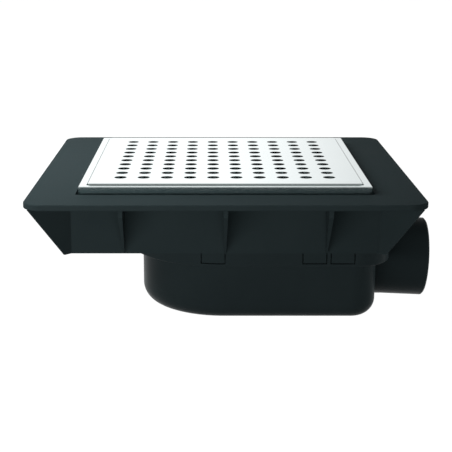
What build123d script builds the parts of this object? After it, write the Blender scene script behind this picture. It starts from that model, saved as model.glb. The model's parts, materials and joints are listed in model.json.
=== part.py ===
from build123d import *
import math
import os

# A square floor gully with a stainless steel grate and a water trap.
#
# The frame: +Z is up. The origin is the centre of the grate's top face, which is the finished floor
# level. +X is the way the water leaves, through the outlet spigot. -Y is the front.
# Lengths are in millimetres and angles in degrees.

# Stainless steel frame: one folded sheet with a flat rim, an outer skirt on each side, an inner
# wall round the grate and a ledge that carries it.
frame_width = 149.0
frame_rise = 3.8
frame_sheet = 1.0
frame_bend_radius = 0.4
rim_width = 3.8
skirt_depth = 14.0
corner_relief = 1.2
ledge_width = 9.5

# Stainless steel grate: a pressed sheet with its four edges folded down, a little proud of the rim.
grate_rise = 0.8
grate_gap = 0.5
grate_sheet = 1.0
grate_depth = 6.0
grate_bend_radius = 0.4
grate_corner_radius = 2.0
hole_diameter = 6.4
hole_pitch = 12.1
holes_each_way = 10

# Rubber pads that keep the grate from rattling on its ledge.
pad_length = 16.0
pad_width = 3.6
pad_thickness = 1.0
pad_wall_gap = 0.3

# Upper body: a wide flange round a square box, with fins under the flange.
flange_width = 200.0
flange_thickness = 3.1
flange_corner_radius = 10.0
flange_edge_radius = 0.6
frame_clearance = 1.5
box_wall = 3.0
box_depth = 29.9
box_floor_thickness = 3.0
box_corner_radius = 1.2
fin_thickness = 2.3
fin_foot_thickness = 1.0
fin_pitch = 51.6
fins_each_side = 3
fin_setback = 1.0
fin_edge_height = 3.5
corner_fin_thickness = 1.2
corner_fin_foot = 4.2
boss_diameter = 8.0
boss_web_thickness = 1.6
boss_web_gap = 1.5
wall_bite = 0.5

# Screws that hold the steel frame down on the box's four bosses.
screw_diameter = 3.0
screw_length = 12.0
screw_head_diameter = 6.0
screw_head_height = 2.0
screw_head_radius = 0.6
screw_recess_width = 0.9
screw_recess_length = 3.4
screw_recess_depth = 1.2
screw_fit_gap = 0.05
screw_tip_gap = 2.0
screw_inset = 9.7
screw_hole_play = 0.5

# Trap pot: the lower body, round on the left and square on the outlet's side, with a downturned rim.
pot_radius = 46.1
pot_reach = 83.3
pot_corner_radius = 13.9
pot_wall = 2.6
pot_depth = 46.9
pot_fillet = 10.0
pot_rim_overhang = 6.8
pot_rim_thickness = 3.2
pot_rim_wall = 2.4
pot_rim_height = 14.6
pot_rim_gap = 0.3
pot_rim_edge_radius = 0.6

# Flat gasket in a groove of the pot's rim, pressed against the underside of the box.
gasket_groove_depth = 1.5
gasket_width = 3.6
gasket_play = 0.2
gasket_offset = 0.2

# Snap tongues: three at the front and three at the back, flush with the pot's rim.
tongue_width = 12.2
tongue_starts = (-12.2, 42.0, 57.0)
tongue_drop = 12.6
tongue_thickness = 2.4
tongue_gap = 0.5
barb_depth = 1.2
barb_height = 2.2
barb_gap = 0.3

# Outlet spigot, part of the pot.
outlet_diameter = 44.5
outlet_wall = 2.6
outlet_length = 31.7
outlet_axis_rise = 25.4
outlet_fall = 2.5
outlet_chamfer = 0.8
outlet_root_length = 8.0
outlet_root_flare = 0.5

# Seat for the trap insert in the box's floor.
seat_pot_gap = 1.6
seat_wall = 2.2
seat_drop = 6.5
seat_recess_depth = 1.6
seat_recess_margin = 4.0

# Funnel with its dip tube: the upper half of the trap insert.
funnel_rim_play = 0.4
funnel_wall = 1.8
funnel_skirt_gap = 1.6
funnel_skirt_drop = 7.0
funnel_slope_drop = 7.2
dip_tube_radius = 20.0
dip_tube_wall = 2.0
bow_width = 7.0
bow_thickness = 3.0
bow_height = 15.0
bow_lean = 12.5
bow_outer_radius = 6.0
bow_foot_sink = 1.0

# Ring seal round the funnel's skirt.
ring_section_radius = 1.2
ring_fit_gap = 0.05
ring_groove_height = 2.6

# Cup: the lower half of the trap insert, which holds the water.
cup_radius = 33.0
cup_foot_radius = 31.5
cup_wall = 2.0
cup_floor_gap = 0.3
cup_fillet = 3.0
dip_gap = 8.0
seal_depth = 22.0
cup_ribs = 4
cup_rib_thickness = 1.6
cup_rib_height = 15.8
cup_rib_step = 3.0
cup_rib_gap = 0.3

# Every cut runs this far past the face that it opens.
overrun = 1.0

# Levels, from the floor level down.
rim_top = -grate_rise
skirt_bottom = rim_top - skirt_depth
flange_top = rim_top - frame_rise
flange_underside = flange_top - flange_thickness
box_underside = flange_top - box_depth
box_floor_top = box_underside + box_floor_thickness
ledge_top = -grate_depth - pad_thickness
ledge_underside = ledge_top - frame_sheet
pot_rim_top = box_underside - pot_rim_gap
gasket_bottom = pot_rim_top - gasket_groove_depth
pot_rim_bottom = box_underside - pot_rim_height
pot_underside = box_underside - pot_depth
pot_floor_top = pot_underside + pot_wall
seat_level = box_floor_top - seat_recess_depth
cup_underside = pot_floor_top + cup_floor_gap
cup_floor_top = cup_underside + cup_wall
dip_tube_end = cup_floor_top + dip_gap
cup_rim_level = dip_tube_end + seal_depth
outlet_axis_level = pot_underside + outlet_axis_rise

# Widths that follow from the fits.
box_inner_width = frame_width + 2 * frame_clearance
box_width = box_inner_width + 2 * box_wall
frame_opening = frame_width - 2 * rim_width
grate_width = frame_opening - 2 * grate_gap
ledge_opening = frame_opening - 2 * ledge_width
screw_offset = frame_width / 2 - screw_inset
seat_radius = pot_radius - pot_wall - seat_pot_gap - seat_wall
seat_recess_radius = seat_radius + seat_recess_margin
skirt_outer_radius = seat_radius - funnel_skirt_gap
skirt_inner_radius = skirt_outer_radius - funnel_wall
ring_radius = seat_radius - ring_fit_gap - ring_section_radius
ring_level = seat_level - funnel_skirt_drop / 2
bow_foot_reach = skirt_inner_radius + bow_thickness
bow_top_reach = bow_foot_reach - bow_lean


def square_block(width, low, high, corner_radius=0.0):
    """A square block on the centre line, from one level to another."""
    outline = RectangleRounded(width, width, corner_radius) if corner_radius else Rectangle(width, width)
    return Pos(0, 0, low) * extrude(outline, high - low)


def square_ring(outer_width, inner_width, low, high):
    """A square ring on the centre line, from one level to another."""
    outline = Rectangle(outer_width, outer_width) - Rectangle(inner_width, inner_width)
    return Pos(0, 0, low) * extrude(outline, high - low)


def disc(radius, low, high):
    """A round disc on the centre line, from one level to another."""
    return Pos(0, 0, low) * extrude(Circle(radius), high - low)


def pot_outline(growth=0.0):
    """The pot's outline seen from above, grown or shrunk evenly."""
    radius = pot_radius + growth
    reach = pot_reach + growth
    straight = Pos(reach / 2, 0) * Rectangle(reach, 2 * radius)
    straight = fillet(straight.vertices().group_by(Axis.X)[-1], pot_corner_radius + growth)
    return Circle(radius) + straight


def pot_slab(growth, low, high):
    """A slab with the pot's outline, from one level to another."""
    return Pos(0, 0, low) * extrude(pot_outline(growth), high - low)


def steel_frame():
    """The folded frame, with a relief at each corner where two skirts would meet."""
    rim = square_ring(frame_width, frame_opening, rim_top - frame_sheet, rim_top)
    inner_wall = square_ring(frame_opening + 2 * frame_sheet, frame_opening, ledge_underside, rim_top)
    ledge = square_ring(frame_opening + 2 * frame_sheet, ledge_opening, ledge_underside, ledge_top)
    skirts = square_ring(frame_width, frame_width - 2 * frame_sheet, skirt_bottom, rim_top)
    body = rim + skirts + inner_wall + ledge
    body = fillet(outer_edges(body, frame_width, rim_top), frame_bend_radius)
    relief_width = corner_relief + overrun
    relief_reach = (frame_width - corner_relief + overrun) / 2
    relief_level = rim_top - (skirt_depth + frame_sheet + overrun) / 2
    relief = Box(relief_width, relief_width, skirt_depth - frame_sheet + overrun)
    for x in (-relief_reach, relief_reach):
        for y in (-relief_reach, relief_reach):
            body -= Pos(x, y, relief_level) * relief
    hole = Cylinder(screw_diameter / 2 + screw_hole_play, frame_sheet + 2 * overrun)
    for x, y in screw_places():
        body -= Pos(x, y, (ledge_top + ledge_underside) / 2) * hole
    return body


def outer_edges(body, width, level):
    """The four edges at a level that lie on a square block's outer faces."""
    return [
        edge
        for edge in body.edges()
        if abs(edge.center().Z - level) < frame_sheet / 4
        and abs(max(abs(edge.center().X), abs(edge.center().Y)) - width / 2) < frame_sheet / 4
    ]


def screw_places():
    """The centres of the four frame screws, seen from above."""
    return [(x * screw_offset, y * screw_offset) for y in (-1, 1) for x in (-1, 1)]


def hole_places():
    """The centres of the grate's holes, seen from above."""
    first = -hole_pitch * (holes_each_way - 1) / 2
    along = [first + hole_pitch * step for step in range(holes_each_way)]
    return [(x, y) for y in along for x in along]


def steel_grate():
    """The pressed grate: a flat top with its edges folded down and a grid of round holes."""
    body = square_block(grate_width, -grate_depth, 0, grate_corner_radius)
    body = fillet(body.edges().group_by(Axis.Z)[-1], grate_bend_radius)
    inner_radius = max(grate_corner_radius - grate_sheet, grate_sheet / 4)
    body -= square_block(grate_width - 2 * grate_sheet, -grate_depth - overrun, -grate_sheet, inner_radius)
    holes = Sketch() + [Pos(x, y) * Circle(hole_diameter / 2) for x, y in hole_places()]
    return body - Pos(0, 0, -grate_sheet - overrun) * extrude(holes, grate_sheet + 2 * overrun)


def grate_pad(angle):
    """One rubber pad on the ledge, under the middle of a folded edge of the grate."""
    centre = frame_opening / 2 - pad_wall_gap - pad_width / 2
    pad = Pos(0, -centre, ledge_top + pad_thickness / 2) * Box(pad_length, pad_width, pad_thickness)
    return Rot(0, 0, angle) * pad


def frame_screw(x, y):
    """A pan head screw through the ledge into its boss, with a cross recess."""
    head = Pos(0, 0, ledge_top) * extrude(Circle(screw_head_diameter / 2), screw_head_height)
    head = fillet(head.edges().group_by(Axis.Z)[-1], screw_head_radius)
    shank = Pos(0, 0, ledge_top - screw_length) * extrude(Circle(screw_diameter / 2), screw_length)
    shank = chamfer(shank.edges().group_by(Axis.Z)[0], screw_diameter / 4)
    recess_level = ledge_top + screw_head_height - screw_recess_depth / 2
    bar = Box(screw_recess_length, screw_recess_width, screw_recess_depth)
    cross = Pos(0, 0, recess_level) * (bar + Rot(0, 0, 90) * bar)
    return Pos(x, y, 0) * (head + shank - cross)


def side_fin():
    """One fin on the front of the box: upright at its outer edge, then raked back to the box's foot."""
    wall = -box_width / 2
    edge = -flange_width / 2 + fin_setback
    points = [
        (wall + wall_bite, flange_underside),
        (edge, flange_underside),
        (edge, flange_underside - fin_edge_height),
        (wall, box_underside),
        (wall + wall_bite, box_underside),
    ]
    side_view = Plane.YZ * make_face(Polyline(*points, close=True))
    return extrude(side_view, fin_thickness, both=True) & tapered_slab(fin_thickness, flange_width)


def tapered_slab(thickness, reach):
    """An upright slab across the part, full thickness under the flange and thin at the box's foot."""
    points = [
        (-thickness / 2, flange_underside),
        (thickness / 2, flange_underside),
        (fin_foot_thickness / 2, box_underside),
        (-fin_foot_thickness / 2, box_underside),
    ]
    return extrude(Plane.XZ * make_face(Polyline(*points, close=True)), reach, both=True)


def corner_fin():
    """One fin that runs from a corner of the box out to the corner of the flange."""
    box_corner = box_width / 2 * math.sqrt(2) - box_corner_radius * (math.sqrt(2) - 1)
    flange_corner = flange_width / 2 * math.sqrt(2) - flange_corner_radius * (math.sqrt(2) - 1)
    points = [
        (box_corner - wall_bite, flange_underside),
        (flange_corner, flange_underside),
        (box_corner + corner_fin_foot, box_underside),
        (box_corner - wall_bite, box_underside),
    ]
    side_view = Plane.XZ * make_face(Polyline(*points, close=True))
    slab = Rot(0, 0, 90) * tapered_slab(corner_fin_thickness, flange_width)
    return extrude(side_view, corner_fin_thickness, both=True) & slab


def all_fins():
    """The fins on the four sides and the four corners of the box."""
    fins = []
    for quarter in range(4):
        turn = Rot(0, 0, 90 * quarter)
        for step in range(fins_each_side):
            offset = fin_pitch * (step - (fins_each_side - 1) / 2)
            fins.append(turn * Pos(offset, 0, 0) * side_fin())
        fins.append(turn * Rot(0, 0, 45) * corner_fin())
    return fins


def screw_bosses():
    """The four bosses in the box's corners, each tied to both walls by a low web."""
    bosses = []
    web_top = skirt_bottom - boss_web_gap
    wall = box_inner_width / 2 + wall_bite
    web_length = wall - screw_offset
    web_height = web_top - box_floor_top + wall_bite
    web = Box(web_length, boss_web_thickness, web_height)
    web_level = web_top - web_height / 2
    for x, y in screw_places():
        boss = Pos(x, y, box_floor_top - wall_bite)
        boss *= extrude(Circle(boss_diameter / 2), ledge_underside - box_floor_top + wall_bite)
        boss += Pos(math.copysign(screw_offset + web_length / 2, x), y, web_level) * web
        boss += Pos(x, math.copysign(screw_offset + web_length / 2, y), web_level) * Rot(0, 0, 90) * web
        bosses.append(boss)
    return bosses


def screw_pilot_holes():
    """The holes in the bosses that the screws turn into."""
    depth = screw_length - frame_sheet + screw_tip_gap
    hole = Pos(0, 0, ledge_underside - depth) * extrude(
        Circle(screw_diameter / 2 + screw_fit_gap), depth + overrun
    )
    return [Pos(x, y, 0) * hole for x, y in screw_places()]


def tongue_span(growth):
    """The strips, front and back, that the tongues fill, widened at each end by a growth."""
    reach = 2 * (pot_radius + pot_rim_overhang + overrun)
    strips = []
    for start in tongue_starts:
        width = tongue_width + 2 * growth
        centre = start + tongue_width / 2
        strips.append(Pos(centre, 0, 0) * Rectangle(width, reach))
    return Sketch() + strips


def snap_tongues():
    """The tongues under the box, flush with the pot's rim, each with a barb that catches under it."""
    outer = pot_rim_overhang
    inner = outer - tongue_thickness
    band = pot_outline(outer) - pot_outline(inner)
    tongue = band & tongue_span(0)
    body = Pos(0, 0, box_underside - tongue_drop) * extrude(tongue, tongue_drop + wall_bite)
    catch = pot_outline(inner + wall_bite) - pot_outline(inner - barb_depth)
    barb = catch & tongue_span(0)
    barb_top = pot_rim_top - pot_rim_thickness - barb_gap
    return body + Pos(0, 0, barb_top - barb_height) * extrude(barb, barb_height)


def upper_body():
    """The moulded flange and box, with its fins, bosses, snap tongues and the seat for the trap."""
    flange = square_block(flange_width, flange_underside, flange_top, flange_corner_radius)
    levels = flange.edges().group_by(Axis.Z)
    flange = fillet(levels[-1] + levels[0], flange_edge_radius)
    box = square_block(box_width, box_underside, flange_underside + wall_bite, box_corner_radius)
    cover = pot_slab(pot_rim_overhang, box_underside, box_floor_top)
    body = flange + box + cover + all_fins()
    body -= square_block(box_inner_width, box_floor_top, flange_top + overrun, box_corner_radius)
    body += screw_bosses()
    body -= screw_pilot_holes()
    body += snap_tongues()
    body += disc(seat_radius + seat_wall, box_underside - seat_drop, box_floor_top - wall_bite)
    body -= disc(seat_radius, box_underside - seat_drop - overrun, box_floor_top + overrun)
    body -= disc(seat_recess_radius, seat_level, box_floor_top + overrun)
    return body


def outlet_plane():
    """The plane of the pot's end wall, turned to face along the spigot."""
    fall = math.radians(outlet_fall)
    return Plane(
        origin=(pot_reach, 0, outlet_axis_level),
        x_dir=(0, 1, 0),
        z_dir=(math.cos(fall), 0, -math.sin(fall)),
    )


def outlet_pipe():
    """The spigot as a solid bar: a plain end for a socket and a root that flares towards the pot."""
    end = outlet_plane()
    radius = outlet_diameter / 2
    pipe = extrude(end.offset(-pot_wall) * Circle(radius), outlet_length + pot_wall)
    pipe = chamfer(pipe.edges().sort_by(Axis.X)[-1], outlet_chamfer)
    root_middle = end.offset((outlet_root_length - pot_wall) / 2)
    return pipe + root_middle * Cone(radius + outlet_root_flare, radius, outlet_root_length + pot_wall)


def tongue_slots():
    """The slots in the pot's rim that the snap tongues fill."""
    outer = pot_rim_overhang + overrun
    inner = pot_rim_overhang - pot_rim_wall - tongue_gap
    band = pot_outline(outer) - pot_outline(inner)
    slot = band & tongue_span(tongue_gap)
    low = box_underside - tongue_drop - tongue_gap
    return Pos(0, 0, low) * extrude(slot, pot_rim_top - low + overrun)


def trap_pot():
    """The moulded pot with its downturned rim and its outlet spigot."""
    body = pot_slab(0, pot_underside, pot_rim_top)
    body = fillet(body.edges().group_by(Axis.Z)[0], pot_fillet)
    rim_inner = pot_rim_overhang - pot_rim_wall
    skirt = pot_slab(pot_rim_overhang, pot_rim_bottom, pot_rim_top)
    skirt = fillet(skirt.edges().group_by(Axis.Z)[0], pot_rim_edge_radius)
    body += skirt - pot_slab(rim_inner, pot_rim_bottom - overrun, pot_rim_top - pot_rim_thickness)
    clear_of_box = pot_slab(pot_rim_overhang + pot_rim_gap, pot_rim_top, pot_rim_top + outlet_diameter)
    body += outlet_pipe() - clear_of_box
    cavity = pot_slab(-pot_wall, pot_floor_top, pot_rim_top + overrun)
    cavity = fillet(cavity.edges().group_by(Axis.Z)[0], pot_fillet - pot_wall)
    body -= cavity
    body -= gasket_ring(gasket_play, gasket_bottom, pot_rim_top + overrun)
    bore = outlet_plane().offset(-pot_wall - overrun) * Circle(outlet_diameter / 2 - outlet_wall)
    return body - extrude(bore, outlet_length + pot_wall + 2 * overrun) - tongue_slots()


def gasket_ring(play, low, high):
    """A ring that follows the pot's rim, the gasket's width plus a play on each side."""
    inner = gasket_offset - gasket_width / 2 - play
    outer = gasket_offset + gasket_width / 2 + play
    return Pos(0, 0, low) * extrude(pot_outline(outer) - pot_outline(inner), high - low)


def trap_funnel():
    """The funnel: a rim on the seat, a skirt with a groove, a cone, the dip tube and a lifting bow."""
    skirt_outer = skirt_outer_radius
    skirt_inner = skirt_inner_radius
    skirt_low = seat_level - funnel_skirt_drop
    cone_low = seat_level - funnel_slope_drop
    tube_inner = dip_tube_radius - dip_tube_wall
    groove_top = ring_level + ring_groove_height / 2
    groove_low = ring_level - ring_groove_height / 2
    groove_radius = ring_radius - ring_section_radius - ring_fit_gap
    points = [
        (seat_recess_radius - funnel_rim_play, seat_level),
        (seat_recess_radius - funnel_rim_play, box_floor_top),
        (skirt_inner, box_floor_top),
        (dip_tube_radius, cone_low + funnel_wall),
        (tube_inner, cone_low),
        (tube_inner, dip_tube_end),
        (dip_tube_radius, dip_tube_end),
        (dip_tube_radius, cone_low),
        (skirt_inner, seat_level),
        (skirt_inner, skirt_low),
        (skirt_outer, skirt_low),
        (skirt_outer, groove_low),
        (groove_radius, groove_low),
        (groove_radius, groove_top),
        (skirt_outer, groove_top),
        (skirt_outer, seat_level),
    ]
    profile = Plane.XZ * make_face(Polyline(*points, close=True))
    return revolve(profile, Axis.Z) + lifting_bow()


def lifting_bow():
    """The flat arch across the funnel's mouth that it is pulled out by."""
    foot = box_floor_top - bow_foot_sink
    top = box_floor_top + bow_height
    outer = Polyline(
        (-bow_foot_reach, foot),
        (-bow_top_reach, top),
        (bow_top_reach, top),
        (bow_foot_reach, foot),
        close=True,
    )
    arch = make_face(outer)
    inner = offset(arch, -bow_thickness)
    corners = arch.vertices().group_by(Axis.Y)[-1]
    inner_corners = inner.vertices().group_by(Axis.Y)[-1]
    arch = fillet(corners, bow_outer_radius) - fillet(inner_corners, bow_outer_radius - bow_thickness)
    arch -= Pos(0, foot) * Rectangle(2 * bow_top_reach, 2 * (bow_thickness + overrun))
    return extrude(Plane.XZ * arch, bow_width / 2, both=True)


def funnel_seal():
    """The rubber ring in the groove of the funnel's skirt."""
    return Pos(0, 0, ring_level) * Torus(ring_radius, ring_section_radius)


def trap_cup():
    """The cup, with four ribs inside that hold the end of the dip tube."""
    points = [
        (0, cup_underside),
        (cup_foot_radius, cup_underside),
        (cup_radius, cup_rim_level),
        (cup_radius - cup_wall, cup_rim_level),
        (cup_foot_radius - cup_wall, cup_floor_top),
        (0, cup_floor_top),
    ]
    profile = make_face(Polyline(*points, close=True))
    foot = profile.vertices().sort_by(Axis.Y)[:2].sort_by(Axis.X)[-1]
    profile = fillet(foot, cup_fillet)
    cup = revolve(Plane.XZ * profile, Axis.Z)
    rib_inner = dip_tube_radius + cup_rib_gap
    rib_points = [
        (rib_inner - cup_rib_step, cup_floor_top - cup_wall / 2),
        (cup_foot_radius - cup_wall / 2, cup_floor_top - cup_wall / 2),
        (cup_foot_radius - cup_wall / 2, cup_floor_top + cup_rib_height),
        (rib_inner, cup_floor_top + cup_rib_height),
        (rib_inner, dip_tube_end),
        (rib_inner - cup_rib_step, dip_tube_end),
    ]
    rib = extrude(Plane.XZ * make_face(Polyline(*rib_points, close=True)), cup_rib_thickness / 2, both=True)
    for step in range(cup_ribs):
        cup += Rot(0, 0, 360 * step / cup_ribs) * rib
    return cup


def build_nodes():
    """Every piece of the gully, by the name of its node."""
    nodes = {
        "grate": steel_grate(),
        "grate_frame": steel_frame(),
        "upper_body": upper_body(),
        "trap_pot": trap_pot(),
        "body_gasket": gasket_ring(0, gasket_bottom, box_underside),
        "trap_funnel": trap_funnel(),
        "funnel_seal": funnel_seal(),
        "trap_cup": trap_cup(),
    }
    for name, angle in {"front": 0, "right": 90, "back": 180, "left": 270}.items():
        nodes["grate_pad_" + name] = grate_pad(angle)
    corner_names = ("front_left", "front_right", "back_left", "back_right")
    for name, (x, y) in zip(corner_names, screw_places()):
        nodes["frame_screw_" + name] = frame_screw(x, y)
    return nodes


os.makedirs("parts", exist_ok=True)
for node_name, shape in build_nodes().items():
    export_step(shape, os.path.join("parts", node_name + ".step"))
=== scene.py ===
import bpy
import json
import math
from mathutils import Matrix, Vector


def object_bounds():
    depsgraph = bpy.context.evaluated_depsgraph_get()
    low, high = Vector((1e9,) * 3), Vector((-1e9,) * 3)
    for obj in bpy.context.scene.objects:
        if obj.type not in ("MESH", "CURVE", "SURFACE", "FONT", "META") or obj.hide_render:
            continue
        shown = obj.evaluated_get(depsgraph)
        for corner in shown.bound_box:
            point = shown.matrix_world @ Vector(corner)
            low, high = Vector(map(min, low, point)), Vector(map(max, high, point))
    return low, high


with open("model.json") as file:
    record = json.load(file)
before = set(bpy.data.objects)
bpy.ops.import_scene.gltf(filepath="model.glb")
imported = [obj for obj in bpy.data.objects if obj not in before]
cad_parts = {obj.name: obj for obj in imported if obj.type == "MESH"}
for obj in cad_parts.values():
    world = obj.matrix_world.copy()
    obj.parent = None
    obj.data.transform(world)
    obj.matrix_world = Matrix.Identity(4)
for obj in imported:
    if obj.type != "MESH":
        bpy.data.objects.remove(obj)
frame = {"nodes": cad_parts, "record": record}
cad_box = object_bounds()

# A millimetre. All lengths are in metres.
MM = 0.001

# The camera, worked out from the frame's corners, the flange, the hole grid and the pot in the photograph.
PHOTO_SIZE_PX = 452
FOCAL_LENGTH_PX = 1174.6
PRINCIPAL_X_PX = 209.9
SENSOR_WIDTH_MM = 36.0
CAMERA_PLACE = (-7.8 * MM, -655.9 * MM, 121.9 * MM)
CAMERA_PITCH = math.radians(13.83)
CAMERA_CLIP_START = 10 * MM

# The floor and the light. The camera and mirrors see the floor as bright white, with a share of its own
# shading in it.
FLOOR_SIZE = 8.0
FLOOR_GAP = 0.05 * MM
FLOOR_COLOUR = (0.2, 0.2, 0.2, 1)
FLOOR_ROUGHNESS = 0.9
FLOOR_WHITE = 1.45
SHADED_SHARE = 0.3
WORLD_LIGHT = 0.04
WHITE = (1, 1, 1, 1)

# What mirrors see of the studio: a white backdrop behind the part that dims to the right, and a room that
# is dim at the sides and dimmer in front. Each span is a stretch of the X or Y of a direction whose
# length is 1.
BACKDROP_LEFT, BACKDROP_RIGHT = 1.1, 0.55
BACKDROP_SPAN = (0.02, 0.22)
BACKDROP_EDGE = (0.3, 0.7)
ROOM_SIDE, ROOM_FRONT = 0.6, 0.24
ROOM_SPAN = (-0.3, -0.9)

# The stretch of a noise's values that a finish spreads its colours and its gloss over.
NOISE_SPAN = (0.3, 0.7)


def add(tree, kind, **values):
    """A new node, with its properties and inputs set by name. An underscore stands for a space."""
    node = tree.nodes.new(kind)
    for key, value in values.items():
        if hasattr(node, key):
            setattr(node, key, value)
        else:
            node.inputs[key.replace("_", " ")].default_value = value
    return node


def feed(tree, socket, value):
    """Gives an input a plain value, or links it to another node's output."""
    if isinstance(value, bpy.types.NodeSocket):
        tree.links.new(value, socket)
    else:
        socket.default_value = value


def computed(tree, operation, *values):
    """The result of a Math node on outputs and plain values."""
    node = add(tree, "ShaderNodeMath", operation=operation)
    for socket, value in zip(node.inputs, values):
        feed(tree, socket, value)
    return node.outputs["Value"]


def blend(tree, share, low, high):
    """A number that goes from low to high as the share goes from 0 to 1."""
    mix = add(tree, "ShaderNodeMix")
    for name, value in (("Factor", share), ("A", low), ("B", high)):
        feed(tree, mix.inputs[name], value)
    return mix.outputs["Result"]


def spread(tree, source, low, high, span=NOISE_SPAN):
    """A number that goes from low to high while a source goes through a span."""
    start, end = span
    node = add(tree, "ShaderNodeMapRange", From_Min=start, From_Max=end, To_Min=low, To_Max=high)
    feed(tree, node.inputs["Value"], source)
    return node.outputs["Result"]


def axes(tree, vector):
    """The parts of a vector along X, Y and Z."""
    split = add(tree, "ShaderNodeSeparateXYZ")
    feed(tree, split.inputs["Vector"], vector)
    return split.outputs


def stretched_noise(tree, scale, detail):
    """Noise on the piece itself, with its own scale along X, Y and Z, in cycles a metre."""
    place = add(tree, "ShaderNodeTexCoord")
    mapping = add(tree, "ShaderNodeMapping", Scale=scale)
    noise = add(tree, "ShaderNodeTexNoise", Scale=1.0, Detail=detail)
    feed(tree, mapping.inputs["Vector"], place.outputs["Object"])
    feed(tree, noise.inputs["Vector"], mapping.outputs["Vector"])
    return noise.outputs["Fac"]


def even_noise(tree, scale, detail):
    """Noise on the piece itself, with one scale all ways, in cycles a metre."""
    return stretched_noise(tree, (scale, scale, scale), detail)


def tinted(tree, source, dark, light):
    """A colour that goes from dark to light with a noise."""
    ramp = add(tree, "ShaderNodeValToRGB")
    for stop, position, colour in zip(ramp.color_ramp.elements, NOISE_SPAN, (dark, light)):
        stop.position = position
        stop.color = colour
    feed(tree, ramp.inputs["Fac"], source)
    return ramp.outputs["Color"]


def bumped(tree, source, strength, height):
    """A surface direction that follows a noise, with the height of its bumps in metres."""
    node = add(tree, "ShaderNodeBump", Strength=strength, Distance=height)
    feed(tree, node.inputs["Height"], source)
    return node.outputs["Normal"]


def material(name):
    """A new material, its node tree and its shader."""
    made = bpy.data.materials.new(name)
    made.use_nodes = True
    return made, made.node_tree, made.node_tree.nodes["Principled BSDF"]


def moulded_plastic(name, dark, light, smooth, rough, specular):
    """Injection moulded plastic: a fine spark-eroded grain and a slow change of gloss."""
    made, tree, shader = material(name)
    grain = even_noise(tree, scale=2600, detail=3)
    cloud = even_noise(tree, scale=32, detail=4)
    feed(tree, shader.inputs["Base Color"], tinted(tree, cloud, dark, light))
    feed(tree, shader.inputs["Roughness"], spread(tree, cloud, smooth, rough))
    feed(tree, shader.inputs["Normal"], bumped(tree, grain, strength=0.18, height=0.06 * MM))
    shader.inputs["Specular IOR Level"].default_value = specular
    return made


def brushed_steel(name, dark, light, smooth, rough):
    """Stainless sheet, brushed along X on its flat faces and along Y on the faces that look sideways."""
    made, tree, shader = material(name)
    along, across = 60, 5200
    along_x = stretched_noise(tree, scale=(along, across, across), detail=4)
    along_y = stretched_noise(tree, scale=(across, along, across), detail=4)
    surface = add(tree, "ShaderNodeNewGeometry")
    sideways = computed(tree, "ABSOLUTE", axes(tree, surface.outputs["True Normal"])["X"])
    grain = blend(tree, sideways, along_x, along_y)
    cloud = stretched_noise(tree, scale=(14, 22, 22), detail=3)
    feed(tree, shader.inputs["Base Color"], tinted(tree, cloud, dark, light))
    feed(tree, shader.inputs["Roughness"], spread(tree, grain, smooth, rough))
    feed(tree, shader.inputs["Normal"], bumped(tree, grain, strength=0.06, height=0.02 * MM))
    shader.inputs["Metallic"].default_value = 1.0
    return made


def moulded_rubber(name, dark, light, smooth, rough, specular):
    """Matt rubber with a dusty, slightly uneven skin."""
    made, tree, shader = material(name)
    grain = even_noise(tree, scale=3200, detail=2)
    cloud = even_noise(tree, scale=90, detail=4)
    feed(tree, shader.inputs["Base Color"], tinted(tree, cloud, dark, light))
    feed(tree, shader.inputs["Roughness"], spread(tree, cloud, smooth, rough))
    feed(tree, shader.inputs["Normal"], bumped(tree, grain, strength=0.2, height=0.05 * MM))
    shader.inputs["Specular IOR Level"].default_value = specular
    return made


FINISHES = {
    "black_plastic": moulded_plastic(
        "black_plastic",
        dark=(0.032, 0.0465, 0.0495, 1),
        light=(0.036, 0.0515, 0.0545, 1),
        smooth=0.4,
        rough=0.5,
        specular=0.001,
    ),
    "pot_plastic": moulded_plastic(
        "pot_plastic",
        dark=(0.029, 0.042, 0.045, 1),
        light=(0.033, 0.047, 0.05, 1),
        smooth=0.3,
        rough=0.36,
        specular=0.02,
    ),
    "grey_plastic": moulded_plastic(
        "grey_plastic",
        dark=(0.10, 0.105, 0.11, 1),
        light=(0.12, 0.126, 0.132, 1),
        smooth=0.38,
        rough=0.48,
        specular=0.4,
    ),
    "steel": brushed_steel(
        "steel",
        dark=(0.88, 0.96, 0.96, 1),
        light=(0.9, 0.98, 0.98, 1),
        smooth=0.13,
        rough=0.17,
    ),
    "screw_steel": brushed_steel(
        "screw_steel",
        dark=(0.5, 0.5, 0.5, 1),
        light=(0.6, 0.6, 0.6, 1),
        smooth=0.28,
        rough=0.4,
    ),
    "rubber": moulded_rubber(
        "rubber",
        dark=(0.012, 0.012, 0.012, 1),
        light=(0.02, 0.02, 0.02, 1),
        smooth=0.62,
        rough=0.8,
        specular=0.3,
    ),
}

# The pot comes out of its mould glossier than the body.
NODE_FINISHES = {"trap_pot": "pot_plastic"}


def finish_nodes():
    """Gives every node of the frame its own finish, or else the finish of its slot."""
    slots = {part["node"]: part["material_slot"] for part in frame["record"]["subparts"]}
    for name, node in frame["nodes"].items():
        node.data.materials.clear()
        node.data.materials.append(FINISHES[NODE_FINISHES.get(name, slots[name])])


def seen_white(tree, shader_output, share, strength):
    """Shows a share of white to the camera, mirrors and glass, and the given shader alone to other rays."""
    path = add(tree, "ShaderNodeLightPath")
    seen = path.outputs["Is Camera Ray"]
    for ray in ("Is Glossy Ray", "Is Transmission Ray"):
        seen = computed(tree, "MAXIMUM", seen, path.outputs[ray])
    white = add(tree, "ShaderNodeEmission", Color=WHITE, Strength=strength)
    mix = add(tree, "ShaderNodeMixShader")
    feed(tree, mix.inputs["Fac"], computed(tree, "MULTIPLY", seen, share))
    feed(tree, mix.inputs[1], shader_output)
    feed(tree, mix.inputs[2], white.outputs["Emission"])
    return mix.outputs["Shader"]


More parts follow.
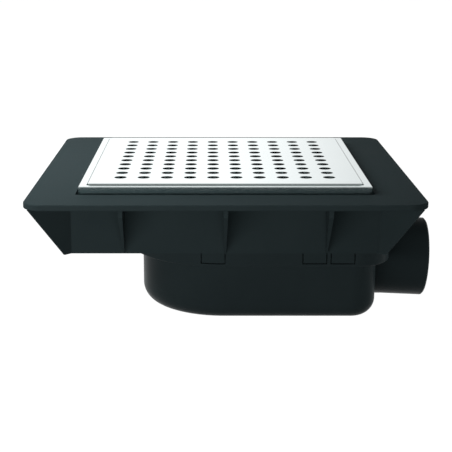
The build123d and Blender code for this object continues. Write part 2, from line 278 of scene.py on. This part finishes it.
def make_world():
    """A world that lights the part softly: white to the camera, and a studio to mirrors and glass."""
    world = bpy.data.worlds.new("studio")
    world.use_nodes = True
    bpy.context.scene.world = world
    tree = world.node_tree
    path = add(tree, "ShaderNodeLightPath")
    place = add(tree, "ShaderNodeTexCoord")
    direction = axes(tree, place.outputs["Generated"])
    backdrop = spread(tree, direction["X"], BACKDROP_LEFT, BACKDROP_RIGHT, BACKDROP_SPAN)
    room = spread(tree, direction["Y"], ROOM_SIDE, ROOM_FRONT, ROOM_SPAN)
    behind = spread(tree, direction["Y"], 0.0, 1.0, BACKDROP_EDGE)
    studio = blend(tree, behind, room, backdrop)
    strength = blend(tree, path.outputs["Is Glossy Ray"], WORLD_LIGHT, studio)
    strength = blend(tree, path.outputs["Is Transmission Ray"], strength, studio)
    strength = blend(tree, path.outputs["Is Camera Ray"], strength, 1.0)
    background = tree.nodes["Background"]
    background.inputs["Color"].default_value = WHITE
    feed(tree, background.inputs["Strength"], strength)


def make_floor():
    """A plain pale floor under the pot."""
    half = FLOOR_SIZE / 2
    level = cad_box[0][2] - FLOOR_GAP
    mesh = bpy.data.meshes.new("floor")
    corners = [(-half, -half, level), (half, -half, level), (half, half, level), (-half, half, level)]
    mesh.from_pydata(corners, [], [(0, 1, 2, 3)])
    floor = bpy.data.objects.new("floor", mesh)
    bpy.context.scene.collection.objects.link(floor)
    made, tree, shader = material("floor")
    shader.inputs["Base Color"].default_value = FLOOR_COLOUR
    shader.inputs["Roughness"].default_value = FLOOR_ROUGHNESS
    shader.inputs["Specular IOR Level"].default_value = 0.0
    seen = seen_white(tree, shader.outputs["BSDF"], 1.0 - SHADED_SHARE, FLOOR_WHITE)
    feed(tree, tree.nodes["Material Output"].inputs["Surface"], seen)
    mesh.materials.append(made)


def make_lamp(name, place, length, height, power):
    """A softbox that looks at the middle of the grate and that mirrors don't see."""
    data = bpy.data.lights.new(name, "AREA")
    data.shape = "RECTANGLE"
    data.size = length
    data.size_y = height
    data.energy = power
    lamp = bpy.data.objects.new(name, data)
    bpy.context.scene.collection.objects.link(lamp)
    lamp.location = place
    lamp.rotation_euler = (-lamp.location).to_track_quat("-Z", "Y").to_euler()
    lamp.visible_glossy = False


def make_camera():
    """The camera at the photograph's viewing angle."""
    data = bpy.data.cameras.new("camera")
    data.sensor_fit = "HORIZONTAL"
    data.sensor_width = SENSOR_WIDTH_MM
    data.lens = FOCAL_LENGTH_PX / PHOTO_SIZE_PX * SENSOR_WIDTH_MM
    data.shift_x = 0.5 - PRINCIPAL_X_PX / PHOTO_SIZE_PX
    data.clip_start = CAMERA_CLIP_START
    camera = bpy.data.objects.new("camera", data)
    bpy.context.scene.collection.objects.link(camera)
    camera.location = CAMERA_PLACE
    camera.rotation_euler = (math.pi / 2 - CAMERA_PITCH, 0, 0)
    bpy.context.scene.camera = camera


finish_nodes()
make_world()
make_floor()
make_lamp("key", place=(-0.185, 0.0, 0.175), length=0.4, height=0.22, power=1.1)
make_lamp("front", place=(-0.13, -0.4, -0.03), length=0.5, height=0.06, power=0.6)
make_lamp("rim", place=(-0.25, 0.5, 0.0), length=0.15, height=0.12, power=1.3)
make_lamp("side", place=(0.55, 0.1, -0.03), length=0.2, height=0.08, power=0.7)
make_camera()
bpy.context.scene.view_settings.view_transform = "Standard"
